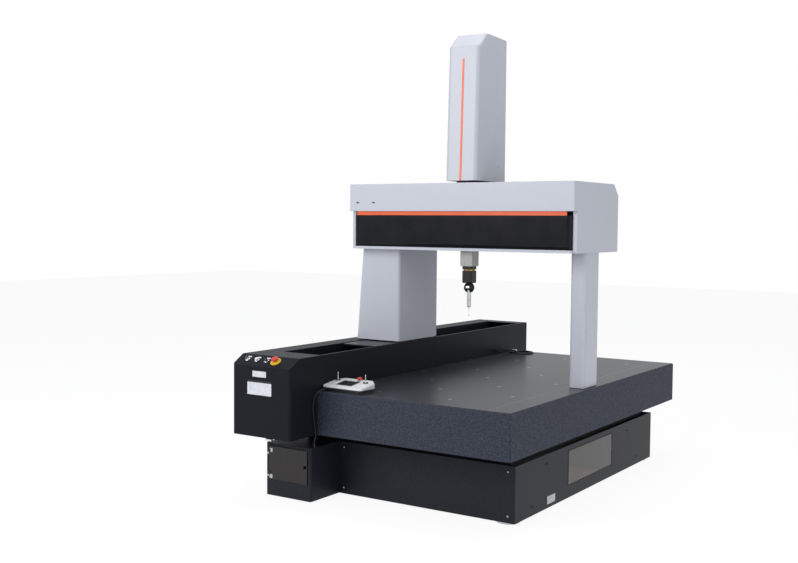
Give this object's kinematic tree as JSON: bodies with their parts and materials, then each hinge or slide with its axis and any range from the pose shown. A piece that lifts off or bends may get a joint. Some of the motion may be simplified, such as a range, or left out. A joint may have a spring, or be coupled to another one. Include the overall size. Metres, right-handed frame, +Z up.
{
  "type": "coordinate measuring machine",
  "caption": "Moving-bridge measuring machine: granite table, raised side guide, beam with Z tower, motorised probe head, console and joystick box.",
  "frame": {"origin": "on the floor under the middle of the machine's overall box", "axes": "+Z up, +X from the raised guide to the free leg, +Y from the operator's side to the back"},
  "size_m": [1.576, 2.738, 2.606],
  "materials": {
    "granite": "ground and lapped",
    "dark_panels": "fine texture powder coat",
    "light_covers": "satin paint",
    "black_panel": "satin moulding",
    "orange_stripe": "gloss",
    "frame_steel": "primer",
    "rubber": "moulded",
    "zinc_steel": "zinc plated",
    "smoked_acrylic": "smoked",
    "brass": "turned",
    "aluminium_dark": "black anodised",
    "aluminium": "machined",
    "quill_ceramic": "hard anodised, ground",
    "probe_steel": "satin",
    "chrome": "polished",
    "white_button": "gloss",
    "black_button": "gloss",
    "stop_red": "gloss",
    "stop_yellow": "gloss",
    "pendant_white": "moulded ABS",
    "pendant_black": "moulded ABS",
    "cord_black": "extruded jacket"
  },
  "bodies": {
    "root": {"leveling_feet": "zinc_steel", "base_cross_tubes": "frame_steel", "base_rails": "frame_steel", "base_panels": "dark_panels", "base_window": "smoked_acrylic", "isolators": "rubber", "granite_table": "granite", "threaded_inserts": "zinc_steel", "y_guide_rail": "granite", "y_scale": "zinc_steel", "guide_housing": "dark_panels", "control_cabinet": "dark_panels", "console_panel": "dark_panels", "control_bezels": "chrome", "estop_collar": "stop_yellow", "air_unit_box": "dark_panels", "air_unit_hinges": "zinc_steel", "air_service_unit": "brass", "pendant_base": "pendant_black", "pendant_shell": "pendant_white", "pendant_keypad": "pendant_black", "pendant_boots": "rubber", "cable_glands": "pendant_black", "pendant_cord": "cord_black", "sensor_lead": "cord_black", "sensor_coil": "cord_black", "temperature_sensor": "probe_steel"},
    "console_key": {"console_key": "chrome"},
    "start_button": {"start_button": "white_button"},
    "stop_button": {"stop_button": "black_button"},
    "estop_head": {"estop_head": "stop_red"},
    "air_unit_door": {"air_unit_door": "smoked_acrylic"},
    "left_gimbal": {"left_gimbal": "aluminium"},
    "left_stick": {"left_stick": "chrome"},
    "right_stick": {"right_stick": "chrome"},
    "pendant_stop": {"pendant_stop": "stop_red"},
    "bridge": {"y_carriage": "aluminium_dark", "air_pads": "aluminium", "column_post": "aluminium", "column_cover": "light_covers", "leg_post": "aluminium", "leg_cover": "light_covers", "beam_core": "granite", "beam_floor": "light_covers", "beam_cover": "light_covers", "beam_front_panel": "black_panel", "beam_stripe": "orange_stripe"},
    "x_carriage": {"x_carriage": "aluminium", "z_guide": "aluminium_dark", "tower_front_cover": "light_covers", "tower_rear_cover": "light_covers", "tower_stripe": "orange_stripe"},
    "quill": {"quill": "quill_ceramic", "quill_adapter": "aluminium_dark", "head_ring": "brass", "head_body": "aluminium_dark"},
    "knuckle": {"head_knuckle": "aluminium_dark"},
    "probe": {"probe_mount": "aluminium", "probe": "probe_steel", "stylus": "probe_steel"}
  },
  "joints": [
    {"name": "y_travel", "type": "slide", "parent": "root", "child": "bridge", "axis": [0, 1, 0], "range_m": [-0.54, 1.06]},
    {"name": "x_travel", "type": "slide", "parent": "bridge", "child": "x_carriage", "axis": [1, 0, 0], "range_m": [-0.382, 0.518]},
    {"name": "z_travel", "type": "slide", "parent": "x_carriage", "child": "quill", "axis": [0, 0, 1], "range_m": [-0.37, 0.08]},
    {"name": "head_rotate", "type": "hinge", "parent": "quill", "child": "knuckle", "pos_m": [0.064, -0.284, 1.151], "axis": [0, 0, 1], "range_deg": [-180, 180]},
    {"name": "head_tilt", "type": "hinge", "parent": "knuckle", "child": "probe", "pos_m": [0.064, -0.284, 1.151], "axis": [-1, 0, 0], "range_deg": [0, 105]},
    {"name": "key_turn", "type": "hinge", "parent": "root", "child": "console_key", "pos_m": [-0.719, -1.32432, 0.7776], "axis": [0, -0.5115, 0.8593], "range_deg": [0, 90]},
    {"name": "start_press", "type": "slide", "parent": "root", "child": "start_button", "axis": [0, 0.5115, -0.8593], "range_m": [0, 0.003], "stiffness_N_per_m": 600, "springref_m": -0.002},
    {"name": "stop_press", "type": "slide", "parent": "root", "child": "stop_button", "axis": [0, 0.5115, -0.8593], "range_m": [0, 0.003], "stiffness_N_per_m": 600, "springref_m": -0.002},
    {"name": "estop_press", "type": "slide", "parent": "root", "child": "estop_head", "axis": [0, 0.5115, -0.8593], "range_m": [0, 0.004]},
    {"name": "air_door_swing", "type": "hinge", "parent": "root", "child": "air_unit_door", "pos_m": [-0.681, -1.1965, 0.19], "axis": [0, 0, -1], "range_deg": [0, 110]},
    {"name": "left_stick_fore_aft", "type": "hinge", "parent": "root", "child": "left_gimbal", "pos_m": [-0.34252, -1.00969, 0.66122], "axis": [0.9994, -0.0349, 0], "range_deg": [-20, 20], "stiffness_Nm_per_rad": 0.05},
    {"name": "left_stick_side", "type": "hinge", "parent": "left_gimbal", "child": "left_stick", "pos_m": [-0.34252, -1.00969, 0.66122], "axis": [0.0349, 0.9994, 0], "range_deg": [-20, 20], "stiffness_Nm_per_rad": 0.05},
    {"name": "right_stick_fore_aft", "type": "hinge", "parent": "root", "child": "right_stick", "pos_m": [-0.15264, -1.01632, 0.66122], "axis": [0.9994, -0.0349, 0], "range_deg": [-20, 20], "stiffness_Nm_per_rad": 0.05},
    {"name": "pendant_stop_press", "type": "slide", "parent": "root", "child": "pendant_stop", "axis": [0, 0, -1], "range_m": [0, 0.004]}
  ]
}
